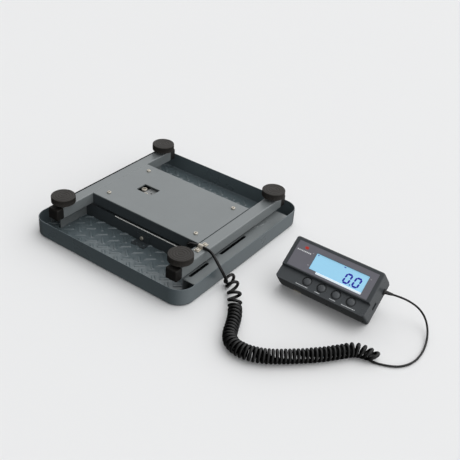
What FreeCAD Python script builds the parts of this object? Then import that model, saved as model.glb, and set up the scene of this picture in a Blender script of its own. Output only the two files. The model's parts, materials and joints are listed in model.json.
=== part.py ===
import FreeCAD, Part
import math
import os

from FreeCAD import Placement, Rotation, Vector

# Platform shipping scale lying on its weighing face, with its remote display beside it.
# Millimetres. Origin: centre of the weighing face, which lies on the ground plane z = 0.
# X runs across the two base tubes, Y runs along them, +Z points to the levelling feet.

# Platform tray: a pressed steel pan with a rim and rounded corners.
TRAY_X = 300.0
TRAY_Y = 313.0
TRAY_RIM_Z = 28.7
TRAY_SHEET = 1.2
TRAY_CORNER_R = 26.0
TRAY_BEND_R = 3.0

# Platform frame: three inverted channels standing on the tray's inner floor.
FRAME_SHEET = 1.5
FRAME_TOP_Z = 24.0
SIDE_CHANNEL_IN_X = 123.0
SIDE_CHANNEL_OUT_X = 146.0
SIDE_CHANNEL_HALF_Y = 122.0
CENTRE_HALF_Y = 65.0
SLOT_X = (124.5, 130.6)
SLOTS_Y = ((-112.0, -67.0), (-38.0, 28.0))

# Angle brackets that tie the centre channel to the tray floor.
BRACKET_HALF_X = 13.0
BRACKET_FOOT = 15.0
BRACKET_RISE = 14.0
BRACKET_SCREW_X = -2.0
BRACKET_SCREW_Z = 8.5
BRACKET_SCREW_R = 1.6
BRACKET_HOLE_X = 7.0
BRACKET_HOLE_Y = 9.0
BRACKET_HOLE_R = 2.0

# Base frame: two square tubes with a channel and its cover plate between them.
TUBE_IN_X = 107.0
TUBE_OUT_X = 127.5
TUBE_BOTTOM_Z = 29.0
TUBE_TOP_Z = 48.1
TUBE_WALL = 1.5
TUBE_HALF_Y = 129.0
TUBE_EDGE_R = 2.0
PLUG_PROUD = 13.0
PLUG_EDGE_R = 3.0
WEB_TOP_Z = 46.6
COVER_SEAM = 1.0
WINDOW_X = (-64.0, -32.6)
WINDOW_Y = (-10.0, 12.0)
COVER_SCREW_X = 88.0
COVER_SCREW_Y = 48.0

# Load cell: a single-point aluminium beam, bolted down at -X and up at +X.
CELL_X = (-54.0, 76.0)
CELL_HALF_Y = 17.0
CELL_Z = (27.6, 42.6)
CELL_PAD_LENGTH = 26.0
CELL_BORE_R = 5.5
CELL_BORE_X = (4.0, 18.0)
CELL_BOLT_R = 2.5
CELL_HOLE_R = 2.6
PLATFORM_BOLTS = ((-48.0, -6.0), (-32.0, -6.0))
BASE_BOLTS = ((56.0, -6.0), (56.0, 6.0), (68.0, -6.0), (68.0, 6.0))
SPARE_HOLE = (-42.3, 1.7)
SPARE_HOLE_R = 1.7
STOP_X = -59.5
STOP_Y = 4.5
STOP_HEAD_R = 4.9
STOP_HEAD_Z = (39.5, 44.2)

# Levelling feet: a threaded stud in a nut inside the tube, and a round pad.
FOOT_X = 116.5
FOOT_Y = 119.4
FOOT_TOP_Z = 63.5
FOOT_R = 18.9
FOOT_DISC_Z = 53.0
FOOT_HUB_Z = 49.4
FOOT_HUB_R = 8.5
STUD_R = 3.93
STUD_HOLE_R = 4.0
STUD_Z = (30.8, 57.0)
NUT_FLATS = 13.0
NUT_HEIGHT = 6.0

# Lead and its fastenings on the base.
CORD_D = 4.2
TAIL_D = 3.0
GROMMET = Vector(92.0, -65.0, 39.5)
GROMMET_R = 5.2
CLAMP_X = (112.4, 120.6)
CLAMP_Y = (-84.5, -59.0)
CLAMP_SHEET = 1.2
CLAMP_SCREWS_Y = (-80.8, -62.9)
CORD_AT_CLAMP = Vector(116.5, -71.7, TUBE_TOP_Z + CORD_D / 2 + 0.1)

# Remote display, tilted up on its stand. Its own axes: u along X, v up the face, n out of it.
DISPLAY_TILT = 37.0
DISPLAY_U = 141.2
DISPLAY_V = 69.3
DISPLAY_N = 38.3
SHELL_WALL = 2.2
SHELL_CORNER_R = 4.0
SHELL_BULGE = ((0.0, 2.0), (9.5, 2.8), (33.0, 1.2), (38.3, 0.4))
SHELL_FLOOR_N = 5.4
SHELL_SPLIT_N = 9.5
SHELL_EDGE_R = 1.6
LEDGE_V = 20.6
LEDGE_FRONT_N = 35.9
LEDGE_BACK_N = 33.2
DISPLAY_ORIGIN = Vector(223.2, -10.5, 0.0)
LABEL_U = (6.0, 135.2)
LABEL_V = (23.0, 64.2)
LABEL_DEPTH = 0.8
LCD_U = (39.2, 123.9)
LCD_V = (30.2, 55.8)
LCD_N = (35.4, 37.2)
LIP_V = (26.6, 30.0)
LIP_U = (51.0, 123.9)
BUTTONS = ("hold_button", "unit_button", "tare_button", "power_button")
BUTTON_U = (45.7, 69.2, 92.5, 116.2)
BUTTON_V = 12.4
BUTTON_R = 6.4
BUTTON_HOLE_R = 6.75
BUTTON_TOP_N = 37.4
KEY_FLANGE_N = (30.0, 30.7)
KEY_SWITCH_TOP_N = 28.8
BOARD_N = (24.4, 26.0)
JACK_V = 24.8
JACK_N = 17.5
STAND_U = (20.0, 121.0)
STAND_LEG = 8.0
STAND_BAR = 7.0
STAND_THICK = 3.0
STAND_PIVOT_V = 63.6
STAND_PIVOT_N = 1.9
STAND_PIN_R = 1.4
STAND_PIN_REACH = 2.6
STAND_SPLAY = 3.0
STAND_BAR_V = 33.4
CASE_SCREW_U = (10.0, 131.2)
CASE_SCREW_V = (9.0, 59.0)
CASE_SCREW_N = 1.8
DOOR_U = (38.0, 102.0)
DOOR_V = (34.0, 62.0)
DOOR_THICK = 2.0
GAP = 0.3

# Free lead: from the clamp down to the floor, the coil's axis, and on to the display.
COIL_R = 9.6
UPPER_LEAD = (
    (120.6, -71.7, 50.3),
    (130.2, -71.7, 50.3),
    (139.4, -74.4, 49.2),
    (147.8, -77.2, 44.8),
    (155.0, -78.6, 37.8),
    (161.2, -77.4, 28.8),
    (165.2, -74.6, 18.6),
    (166.0, -70.8, 9.2),
)
COIL_AXIS = (
    (161.4, -60.9, COIL_R),
    (182.0, -75.5, COIL_R),
    (201.1, -100.3, COIL_R),
    (219.0, -124.6, COIL_R),
    (230.2, -148.5, COIL_R),
    (237.9, -165.1, COIL_R),
    (250.8, -176.0, COIL_R),
    (271.1, -177.5, COIL_R),
    (294.2, -169.0, COIL_R),
    (322.4, -145.0, COIL_R),
    (348.7, -119.2, COIL_R),
    (369.4, -92.8, COIL_R),
    (383.7, -73.3, COIL_R),
    (407.0, -69.5, COIL_R),
)
LOWER_LEAD = (
    (401.0, -75.6, 2.6),
    (412.6, -73.6, 1.7),
    (425.0, -68.6, 1.7),
    (436.8, -61.4, 1.7),
    (445.4, -50.0, 1.7),
    (450.2, -35.2, 1.7),
    (451.0, -17.6, 1.7),
    (448.4, 0.6, 2.2),
    (443.6, 17.6, 4.4),
    (436.0, 32.2, 9.2),
    (426.4, 41.2, 16.2),
    (414.6, 42.8, 24.4),
    (402.4, 38.4, 31.4),
    (390.6, 33.4, 35.8),
    (378.4, 28.9, 37.4),
)
RELIEF_ROOT_R = 3.2
RELIEF_ROOT = Vector(366.2, 24.4, 39.0)
RELIEF_TIP = Vector(*LOWER_LEAD[-1])
INNER_LEAD = (
    (62.0, -17.0, 36.0),
    (62.0, -27.0, 36.0),
    (70.0, -37.6, 37.0),
    (84.0, -46.4, 38.4),
    (92.0, -58.0, 39.5),
    (92.0, -70.0, 39.5),
    (94.0, -77.8, 44.6),
    (101.2, -76.4, 51.0),
    (110.8, -71.7, 50.3),
    (120.6, -71.7, 50.3),
)

CORNERS = (
    ("left_near", -1, -1),
    ("right_near", 1, -1),
    ("left_far", -1, 1),
    ("right_far", 1, 1),
)

os.makedirs("parts", exist_ok=True)


def save(name, *shapes):
    """Writes one node: a solid, or a group of separate solids."""
    shape = shapes[0] if len(shapes) == 1 else Part.makeCompound(list(shapes))
    shape.exportStep(os.path.join("parts", name + ".step"))


def block(x, y, z):
    """A box from its (low, high) limits along each axis."""
    return Part.makeBox(x[1] - x[0], y[1] - y[0], z[1] - z[0], Vector(x[0], y[0], z[0]))


def rod(radius, start, end):
    """A cylinder between two points."""
    return Part.makeCylinder(radius, (end - start).Length, start, end - start)


def upright(radius, x, y, z):
    """A cylinder along Z at (x, y), from z[0] to z[1]."""
    return rod(radius, Vector(x, y, z[0]), Vector(x, y, z[1]))


def rounded_block(x, y, z, radius):
    """A box with its four edges along Z rounded."""
    solid = block(x, y, z)
    return solid.makeFillet(radius, edges_along(solid, Vector(0, 0, 1)))


def edges_along(solid, axis):
    """The straight edges of a solid that run along an axis."""
    found = []
    for edge in solid.Edges:
        ends = [v.Point for v in edge.Vertexes]
        if len(ends) == 2 and abs((ends[1] - ends[0]).normalize().dot(axis)) > 0.999:
            found.append(edge)
    return found


def edges_at_z(solid, z):
    """The edges of a solid that lie in one level."""
    return [e for e in solid.Edges if abs(e.BoundBox.ZMin - z) < 1e-4 and abs(e.BoundBox.ZMax - z) < 1e-4]


def mirrored_x(shape):
    return shape.mirror(Vector(0, 0, 0), Vector(1, 0, 0))


def mirrored_y(shape):
    return shape.mirror(Vector(0, 0, 0), Vector(0, 1, 0))


def slot_cutter(x, y, z):
    """A slot along Y with round ends, as a cutter."""
    radius = (x[1] - x[0]) / 2
    middle = (x[0] + x[1]) / 2
    bar = block(x, (y[0] + radius, y[1] - radius), z)
    ends = [upright(radius, middle, y[0] + radius, z), upright(radius, middle, y[1] - radius, z)]
    return bar.fuse(ends)


def pan_screw(head_r, head_h, shank_r, length):
    """A pan-head screw pointing down -Z, its head standing on z = 0, with a cross recess."""
    head = Part.makeCylinder(head_r, head_h)
    head = head.makeFillet(head_h * 0.45, edges_at_z(head, head_h))
    recess_z = (head_h * 0.45, head_h + 1)
    arm = head_r * 0.55
    half = head_r * 0.13
    recess = block((-arm, arm), (-half, half), recess_z).fuse(block((-half, half), (-arm, arm), recess_z))
    shank = Part.makeCylinder(shank_r, length, Vector(0, 0, -length))
    return head.cut(recess).fuse(shank)


def socket_screw(head_r, head_h, shank_r, length):
    """A socket-head screw pointing down -Z, its head standing on z = 0."""
    head = Part.makeCylinder(head_r, head_h)
    head = head.makeChamfer(head_r * 0.08, edges_at_z(head, head_h))
    socket = hexagon(head_r, head_h * 0.4, head_h + 1)
    shank = Part.makeCylinder(shank_r, length, Vector(0, 0, -length))
    return head.cut(socket).fuse(shank)


def hexagon(flats, low, high):
    """A hexagonal prism about the Z axis."""
    radius = flats / math.sqrt(3)
    points = []
    for i in range(7):
        angle = math.radians(60 * i)
        points.append(Vector(radius * math.cos(angle), radius * math.sin(angle), low))
    return Part.Face(Part.makePolygon(points)).extrude(Vector(0, 0, high - low))


def placed(shape, x, y, z, rotation=None):
    """A copy of a shape, turned and then moved."""
    copy = shape.copy()
    copy.Placement = Placement(Vector(x, y, z), rotation or Rotation())
    return copy


# Cords ------------------------------------------------------------------------------------


def cord_path(points):
    """Straight runs joined by tangent arcs, each as large as its two runs allow."""
    corners = [Vector(*p) for p in points]
    edges = []
    radii = []
    start = corners[0]
    for before, here, after in zip(corners, corners[1:], corners[2:]):
        back = (before - here).normalize()
        ahead = (after - here).normalize()
        shorter = min((before - here).Length, (after - here).Length)
        half_turn = (math.pi - back.getAngle(ahead)) / 2
        trim = 0.45 * shorter
        radius = trim / math.tan(half_turn)
        enter = here + back * trim
        leave = here + ahead * trim
        centre = here + (back + ahead).normalize() * (radius / math.cos(half_turn))
        middle = centre + (here - centre).normalize() * radius
        edges.append(Part.LineSegment(start, enter).toShape())
        edges.append(Part.Arc(enter, middle, leave).toShape())
        radii.append(round(radius, 1))
        start = leave
    edges.append(Part.LineSegment(start, corners[-1]).toShape())
    return Part.Wire(edges), radii


def cord_tube(name, points, diameter):
    """A round tube along a cord's route; prints its radii, its length and its volume check."""
    path, radii = cord_path(points)
    start = Vector(*points[0])
    along = Vector(*points[1]) - start
    circle = Part.Wire(Part.makeCircle(diameter / 2, start, along))
    tube = path.makePipeShell([circle], True, True)
    share = tube.Volume / (math.pi * diameter**2 / 4 * path.Length)
    print(f"{name}: length {path.Length:.1f}, volume share {share:.4f}, radii {radii}")
    return tube


# Platform ---------------------------------------------------------------------------------


def platform_tray():
    half_x = TRAY_X / 2
    half_y = TRAY_Y / 2
    outer = rounded_block((-half_x, half_x), (-half_y, half_y), (0, TRAY_RIM_Z), TRAY_CORNER_R)
    outer = outer.makeFillet(TRAY_BEND_R, edges_at_z(outer, 0))
    in_x = half_x - TRAY_SHEET
    in_y = half_y - TRAY_SHEET
    inner_z = (TRAY_SHEET, TRAY_RIM_Z + 5)
    inner = rounded_block((-in_x, in_x), (-in_y, in_y), inner_z, TRAY_CORNER_R - TRAY_SHEET)
    inner = inner.makeFillet(TRAY_BEND_R - TRAY_SHEET, edges_at_z(inner, TRAY_SHEET))
    return outer.cut(inner)


def side_channel():
    """The +X channel, open underneath and at both ends, with slots in its top."""
    x = (SIDE_CHANNEL_IN_X, SIDE_CHANNEL_OUT_X)
    y = (-SIDE_CHANNEL_HALF_Y, SIDE_CHANNEL_HALF_Y)
    channel = block(x, y, (TRAY_SHEET, FRAME_TOP_Z))
    hollow_x = (x[0] + FRAME_SHEET, x[1] - FRAME_SHEET)
    channel = channel.cut(block(hollow_x, (y[0] - 1, y[1] + 1), (0, FRAME_TOP_Z - FRAME_SHEET)))
    for slot_y in SLOTS_Y:
        channel = channel.cut(slot_cutter(SLOT_X, slot_y, (FRAME_TOP_Z - 2 * FRAME_SHEET, FRAME_TOP_Z + 1)))
    return channel


def centre_channel():
    """The wide channel between the side channels, which carries the load cell's pad."""
    x = (-SIDE_CHANNEL_IN_X, SIDE_CHANNEL_IN_X)
    y = (-CENTRE_HALF_Y, CENTRE_HALF_Y)
    channel = block(x, y, (TRAY_SHEET, FRAME_TOP_Z))
    hollow_y = (y[0] + FRAME_SHEET, y[1] - FRAME_SHEET)
    channel = channel.cut(block((x[0] - 1, x[1] + 1), hollow_y, (0, FRAME_TOP_Z - FRAME_SHEET)))
    for bolt_x, bolt_y in PLATFORM_BOLTS:
        channel = channel.cut(upright(CELL_HOLE_R, bolt_x, bolt_y, (20, 30)))
    channel = channel.cut(upright(CELL_HOLE_R, STOP_X, STOP_Y, (20, 30)))
    for side in (-1, 1):
        wall = side * CENTRE_HALF_Y
        start = Vector(BRACKET_SCREW_X, wall - 5, BRACKET_SCREW_Z)
        channel = channel.cut(rod(BRACKET_SCREW_R + 0.05, start, start + Vector(0, 10, 0)))
    return channel


def bracket_near():
    """The angle bracket on the -Y side: a foot on the tray and a wall against the channel."""
    x = (-BRACKET_HALF_X, BRACKET_HALF_X)
    foot_y = (-CENTRE_HALF_Y - BRACKET_FOOT, -CENTRE_HALF_Y)
    foot = block(x, foot_y, (TRAY_SHEET, TRAY_SHEET + FRAME_SHEET))
    wall_y = (-CENTRE_HALF_Y - FRAME_SHEET, -CENTRE_HALF_Y)
    wall = block(x, wall_y, (TRAY_SHEET, TRAY_SHEET + BRACKET_RISE))
    bracket = foot.fuse(wall)
    for side in (-1, 1):
        hole_y = -CENTRE_HALF_Y - BRACKET_HOLE_Y
        bracket = bracket.cut(upright(BRACKET_HOLE_R, side * BRACKET_HOLE_X, hole_y, (0, 5)))
    start = Vector(BRACKET_SCREW_X, -CENTRE_HALF_Y - 5, BRACKET_SCREW_Z)
    return bracket.cut(rod(BRACKET_SCREW_R + 0.05, start, start + Vector(0, 8, 0)))


def bracket_screw_near():
    screw = pan_screw(2 * BRACKET_SCREW_R, 2.2, BRACKET_SCREW_R, 6.0)
    y = -CENTRE_HALF_Y - FRAME_SHEET
    return placed(screw, BRACKET_SCREW_X, y, BRACKET_SCREW_Z, Rotation(Vector(1, 0, 0), 90))


# Base -------------------------------------------------------------------------------------


def cross_tube():
    """The +X tube, with the holes for its two studs and the clamp's screws."""
    x = (TUBE_IN_X, TUBE_OUT_X)
    y = (-TUBE_HALF_Y, TUBE_HALF_Y)
    tube = block(x, y, (TUBE_BOTTOM_Z, TUBE_TOP_Z))
    tube = tube.makeFillet(TUBE_EDGE_R, edges_along(tube, Vector(0, 1, 0)))
    inner_x = (x[0] + TUBE_WALL, x[1] - TUBE_WALL)
    inner_z = (TUBE_BOTTOM_Z + TUBE_WALL, TUBE_TOP_Z - TUBE_WALL)
    tube = tube.cut(block(inner_x, (y[0] - 1, y[1] + 1), inner_z))
    for side in (-1, 1):
        tube = tube.cut(upright(4.4, FOOT_X, side * FOOT_Y, (TUBE_TOP_Z - 4, TUBE_TOP_Z + 1)))
    return tube


def clamp_holes(tube):
    middle = sum(CLAMP_X) / 2
    for y in CLAMP_SCREWS_Y:
        tube = tube.cut(upright(1.6, middle, y, (TUBE_TOP_Z - 4, TUBE_TOP_Z + 1)))
    return tube


def tube_plug():
    """The plug of the +X, +Y tube end: a rounded cap with a spigot in the tube."""
    x = (TUBE_IN_X, TUBE_OUT_X)
    z = (TUBE_BOTTOM_Z, TUBE_TOP_Z)
    cap = block(x, (TUBE_HALF_Y, TUBE_HALF_Y + PLUG_PROUD), z)
    cap = cap.makeFillet(TUBE_EDGE_R, edges_along(cap, Vector(0, 1, 0)))
    far = TUBE_HALF_Y + PLUG_PROUD
    rim = [e for e in cap.Edges if abs(e.BoundBox.YMin - far) < 1e-4]
    cap = cap.makeChamfer(PLUG_EDGE_R * 0.5, rim)
    inner_x = (x[0] + TUBE_WALL, x[1] - TUBE_WALL)
    inner_z = (z[0] + TUBE_WALL, z[1] - TUBE_WALL)
    spigot_y = (FOOT_Y + 8.0, TUBE_HALF_Y)
    return cap.fuse(block(inner_x, spigot_y, inner_z))


def foot_nut(x, y):
    top = TUBE_TOP_Z - TUBE_WALL
    nut = hexagon(NUT_FLATS, top - NUT_HEIGHT, top)
    nut = nut.cut(upright(STUD_HOLE_R, 0, 0, (0, TUBE_TOP_Z)))
    return placed(nut, x, y, 0)


def window_cutter():
    return rounded_block(WINDOW_X, WINDOW_Y, (WEB_TOP_Z - 5, TUBE_TOP_Z + 1), 0.8)


def base_channel():
    """The inverted channel between the tubes that carries the load cell's upper pad."""
    x = (-TUBE_IN_X, TUBE_IN_X)
    y = (-CENTRE_HALF_Y, CENTRE_HALF_Y)
    channel = block(x, y, (TUBE_BOTTOM_Z, WEB_TOP_Z))
    hollow_y = (y[0] + FRAME_SHEET, y[1] - FRAME_SHEET)
    hollow_z = (TUBE_BOTTOM_Z - 1, WEB_TOP_Z - FRAME_SHEET)
    channel = channel.cut(block((x[0] - 1, x[1] + 1), hollow_y, hollow_z))
    channel = channel.cut(window_cutter())
    for bolt_x, bolt_y in BASE_BOLTS:
        channel = channel.cut(countersunk_bolt(bolt_x, bolt_y, 0.0))
    for side_x in (-1, 1):
        for side_y in (-1, 1):
            hole = upright(1.5, side_x * COVER_SCREW_X, side_y * COVER_SCREW_Y, (40, 50))
            channel = channel.cut(hole)
    hole = rod(GROMMET_R - 1.2, GROMMET - Vector(0, 3, 0), GROMMET + Vector(0, 5, 0))
    return channel.cut(hole)


def cover_plate():
    x = (-TUBE_IN_X, TUBE_IN_X - COVER_SEAM)
    plate = block(x, (-CENTRE_HALF_Y, CENTRE_HALF_Y), (WEB_TOP_Z, TUBE_TOP_Z))
    plate = plate.makeFillet(0.6, [e for e in edges_at_z(plate, TUBE_TOP_Z)])
    plate = plate.cut(window_cutter())
    for side_x in (-1, 1):
        for side_y in (-1, 1):
            hole = upright(1.7, side_x * COVER_SCREW_X, side_y * COVER_SCREW_Y, (40, 50))
            plate = plate.cut(hole)
    return plate


def cover_screws():
    screw = pan_screw(3.4, 2.3, 1.5, 6.5)
    found = []
    for side_x in (-1, 1):
        for side_y in (-1, 1):
            found.append(placed(screw, side_x * COVER_SCREW_X, side_y * COVER_SCREW_Y, TUBE_TOP_Z))
    return found


def countersunk_bolt(x, y, tight):
    """A flat-head bolt from the web's top down into the load cell."""
    top = WEB_TOP_Z
    head = Part.makeCone(2.6 - tight, 4.6 - tight, FRAME_SHEET, Vector(x, y, top - FRAME_SHEET))
    return head.fuse(upright(2.6 - tight, x, y, (CELL_Z[1] - 10, top - FRAME_SHEET)))


def base_bolts():
    found = []
    for x, y in BASE_BOLTS:
        socket = placed(hexagon(3.0, WEB_TOP_Z - 1.2, WEB_TOP_Z + 1), x, y, 0)
        found.append(countersunk_bolt(x, y, 0.1).cut(socket))
    return found


def load_cell():
    """The beam, with two joined bores across it and clearance holes for its bolts."""
    beam = block(CELL_X, (-CELL_HALF_Y, CELL_HALF_Y), CELL_Z)
    middle = sum(CELL_Z) / 2
    for x in CELL_BORE_X:
        start = Vector(x, -CELL_HALF_Y - 1, middle)
        beam = beam.cut(rod(CELL_BORE_R, start, start + Vector(0, 2 * CELL_HALF_Y + 2, 0)))
    slit_z = (middle - 1.5, middle + 1.5)
    beam = beam.cut(block(CELL_BORE_X, (-CELL_HALF_Y - 1, CELL_HALF_Y + 1), slit_z))
    for bolt_x, bolt_y in PLATFORM_BOLTS:
        beam = beam.cut(upright(CELL_HOLE_R, bolt_x, bolt_y, (20, 50)))
    beam = beam.cut(upright(SPARE_HOLE_R, *SPARE_HOLE, (20, 50)))
    for bolt_x, bolt_y in BASE_BOLTS:
        beam = beam.cut(upright(CELL_HOLE_R, bolt_x, bolt_y, (CELL_Z[1] - 12, 50)))
    return beam


def cell_pad(x, z, bolts):
    """A spacer plate under or over one end of the load cell."""
    pad = block(x, (-CELL_HALF_Y, CELL_HALF_Y), z)
    for bolt_x, bolt_y in bolts:
        pad = pad.cut(upright(CELL_HOLE_R, bolt_x, bolt_y, (z[0] - 1, z[1] + 1)))
    return pad


def platform_spacer():
    x = (CELL_X[0], CELL_X[0] + CELL_PAD_LENGTH)
    return cell_pad(x, (FRAME_TOP_Z, CELL_Z[0]), PLATFORM_BOLTS)


def base_spacer():
    x = (CELL_X[1] - CELL_PAD_LENGTH, CELL_X[1])
    return cell_pad(x, (CELL_Z[1], WEB_TOP_Z - FRAME_SHEET), BASE_BOLTS)


def platform_bolts():
    length = CELL_Z[1] - FRAME_TOP_Z + FRAME_SHEET
    bolt = socket_screw(3.6, 1.8, CELL_BOLT_R, length)
    return [placed(bolt, x, y, CELL_Z[1]) for x, y in PLATFORM_BOLTS]


def overload_stop():
    """A tall socket screw standing on the platform frame under the window's edge."""
    head_h = STOP_HEAD_Z[1] - STOP_HEAD_Z[0]
    length = STOP_HEAD_Z[0] - FRAME_TOP_Z + FRAME_SHEET
    return placed(socket_screw(STOP_HEAD_R, head_h, CELL_BOLT_R, length), STOP_X, STOP_Y, STOP_HEAD_Z[0])


def grommet():
    """A rubber bush in the channel's near wall, around the lead."""
    outside = rod(GROMMET_R, GROMMET - Vector(0, 2.2, 0), GROMMET)
    neck = rod(GROMMET_R - 1.2, GROMMET, GROMMET + Vector(0, FRAME_SHEET, 0))
    behind = GROMMET + Vector(0, FRAME_SHEET, 0)
    inside = rod(GROMMET_R, behind, behind + Vector(0, 1.6, 0))
    bush = outside.fuse([neck, inside])
    return bush.cut(rod(CORD_D / 2, GROMMET - Vector(0, 5, 0), GROMMET + Vector(0, 8, 0)))


def cable_clamp():
    """A strap across the lead, screwed to the tube's top at each end."""
    strap = block(CLAMP_X, CLAMP_Y, (TUBE_TOP_Z, TUBE_TOP_Z + CLAMP_SHEET))
    start = Vector(CLAMP_X[0], CORD_AT_CLAMP.y, CORD_AT_CLAMP.z)
    end = Vector(CLAMP_X[1], CORD_AT_CLAMP.y, CORD_AT_CLAMP.z)
    strap = strap.fuse(rod(CORD_D / 2 + CLAMP_SHEET + 0.2, start, end))
    strap = strap.cut(block((CLAMP_X[0] - 1, CLAMP_X[1] + 1), CLAMP_Y, (TUBE_TOP_Z - 9, TUBE_TOP_Z)))
    lead_way = rod(CORD_D / 2 + 0.2, start - Vector(1, 0, 0), end + Vector(1, 0, 0))
    strap = strap.cut(lead_way)
    for y in CLAMP_SCREWS_Y:
        strap = strap.cut(upright(1.7, sum(CLAMP_X) / 2, y, (TUBE_TOP_Z - 1, TUBE_TOP_Z + 5)))
    return strap


def clamp_screws():
    screw = pan_screw(3.0, 2.0, 1.5, 6.0)
    z = TUBE_TOP_Z + CLAMP_SHEET
    return [placed(screw, sum(CLAMP_X) / 2, y, z) for y in CLAMP_SCREWS_Y]


# Feet -------------------------------------------------------------------------------------


def foot_stud(x, y):
    stud = Part.makeCylinder(STUD_R, STUD_Z[1] - STUD_Z[0], Vector(0, 0, STUD_Z[0]))
    stud = stud.makeChamfer(0.8, edges_at_z(stud, STUD_Z[0]))
    return placed(stud, x, y, 0)


def foot_pad(x, y):
    """A round pad with a coned underside and a blind hole for its stud."""
    disc = Part.makeCylinder(FOOT_R, FOOT_TOP_Z - FOOT_DISC_Z, Vector(0, 0, FOOT_DISC_Z))
    disc = disc.makeFillet(1.2, edges_at_z(disc, FOOT_TOP_Z))
    cone = Part.makeCone(FOOT_HUB_R, FOOT_R - 2.5, FOOT_DISC_Z - FOOT_HUB_Z, Vector(0, 0, FOOT_HUB_Z))
    hole = upright(STUD_HOLE_R, 0, 0, (FOOT_HUB_Z - 1, STUD_Z[1] + 0.3))
    return placed(disc.fuse(cone).cut(hole), x, y, 0)


# Display ----------------------------------------------------------------------------------


def display_placement():
    """Own axes to the scale's: tilted about the front edge, whose rounding rests on the floor."""
    tilt = math.radians(DISPLAY_TILT)
    sink = SHELL_EDGE_R * (math.sin(tilt) + math.cos(tilt) - 1)
    return Placement(DISPLAY_ORIGIN - Vector(0, 0, sink), Rotation(Vector(1, 0, 0), DISPLAY_TILT))


def on_display(shape):
    """Moves a shape from the display's own axes to the scale's."""
    moved = shape.copy()
    moved.Placement = display_placement().multiply(moved.Placement)
    return moved


def display_cavity():
    """The hollow inside both shells, in v and n, swept along u."""
    slope = (LEDGE_FRONT_N - LEDGE_BACK_N) / LEDGE_V
    under_ledge = SHELL_WALL * (1 + slope)
    step = LEDGE_V + SHELL_WALL
    points = (
        (SHELL_WALL, SHELL_FLOOR_N),
        (SHELL_WALL, LEDGE_FRONT_N - under_ledge),
        (step, LEDGE_BACK_N - under_ledge),
        (step, DISPLAY_N - SHELL_WALL),
        (DISPLAY_V - SHELL_WALL, DISPLAY_N - SHELL_WALL),
        (DISPLAY_V - SHELL_WALL, SHELL_FLOOR_N),
        (SHELL_WALL, SHELL_FLOOR_N),
    )
    outline = Part.makePolygon([Vector(SHELL_WALL, v, n) for v, n in points])
    return Part.Face(outline).extrude(Vector(DISPLAY_U - 2 * SHELL_WALL, 0, 0))


def rounded_outline(u, v, n, radius):
    """A rectangle with rounded corners in one level, as a wire."""
    plate = rounded_block(u, v, (n, n + 1), radius)
    return [f.OuterWire for f in plate.Faces if abs(f.BoundBox.ZMax - n) < 1e-4][0]


def display_body():
    """The closed housing: crowned side walls, rounded corners and the sloping ledge."""
    outlines = []
    for n, bulge in SHELL_BULGE:
        outlines.append(rounded_outline((-bulge, DISPLAY_U + bulge), (0, DISPLAY_V), n, SHELL_CORNER_R))
    body = Part.makeLoft(outlines, True, True)
    far_u = DISPLAY_U + 20
    above_ledge = (
        (-10, LEDGE_FRONT_N + 10 * (LEDGE_FRONT_N - LEDGE_BACK_N) / LEDGE_V),
        (LEDGE_V, LEDGE_BACK_N),
        (LEDGE_V, DISPLAY_N + 10),
        (-10, DISPLAY_N + 10),
    )
    corners = [Vector(-20, v, n) for v, n in above_ledge]
    cutter = Part.Face(Part.makePolygon(corners + corners[:1])).extrude(Vector(far_u + 20, 0, 0))
    body = body.cut(cutter)
    rims = edges_at_z(body, DISPLAY_N) + edges_at_z(body, 0)
    return body.makeFillet(SHELL_EDGE_R, rims)


def button_stack(u, radius, low, high):
    return upright(radius, u, BUTTON_V, (low, high))


def jack_cutter():
    u = (DISPLAY_U - 4, DISPLAY_U + 9)
    return block(u, (JACK_V - 5.6, JACK_V + 5.6), (JACK_N - 3.2, JACK_N + 3.2))


def gland_cutter(radius):
    """The round way through the housing's right wall for the lead's gland."""
    start = display_placement().inverse().multVec(RELIEF_ROOT)
    return rod(radius, start - Vector(9, 0, 0), start + Vector(5, 0, 0))


def glass_opening():
    """The way through the face for the glass and, under it, the shorter light strip."""
    n = (DISPLAY_N - 5, DISPLAY_N + 1)
    glass = block((LCD_U[0] - GAP, LCD_U[1] + GAP), (LCD_V[0] - GAP, LCD_V[1] + GAP), n)
    strip = block((LIP_U[0] - GAP, LIP_U[1] + GAP), (LIP_V[0] - GAP, LCD_V[0]), n)
    return glass.fuse(strip)


def display_front():
    """The upper shell: face, label recess, display window, button ledge and walls."""
    shell = display_body().cut(display_cavity())
    shell = shell.cut(block((-9, DISPLAY_U + 9), (-9, DISPLAY_V + 9), (-1, SHELL_SPLIT_N)))
    shell = shell.cut(block(LABEL_U, LABEL_V, (DISPLAY_N - LABEL_DEPTH, DISPLAY_N + 1)))
    shell = shell.cut(glass_opening())
    for u in BUTTON_U:
        shell = shell.cut(button_stack(u, BUTTON_HOLE_R, 29, DISPLAY_N + 1))
    shell = shell.cut(jack_cutter())
    return shell.cut(gland_cutter(3.6))


def case_screw_spots():
    """Where the case screws stand, in u and v."""
    return [(u, v) for u in CASE_SCREW_U for v in CASE_SCREW_V]


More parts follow.
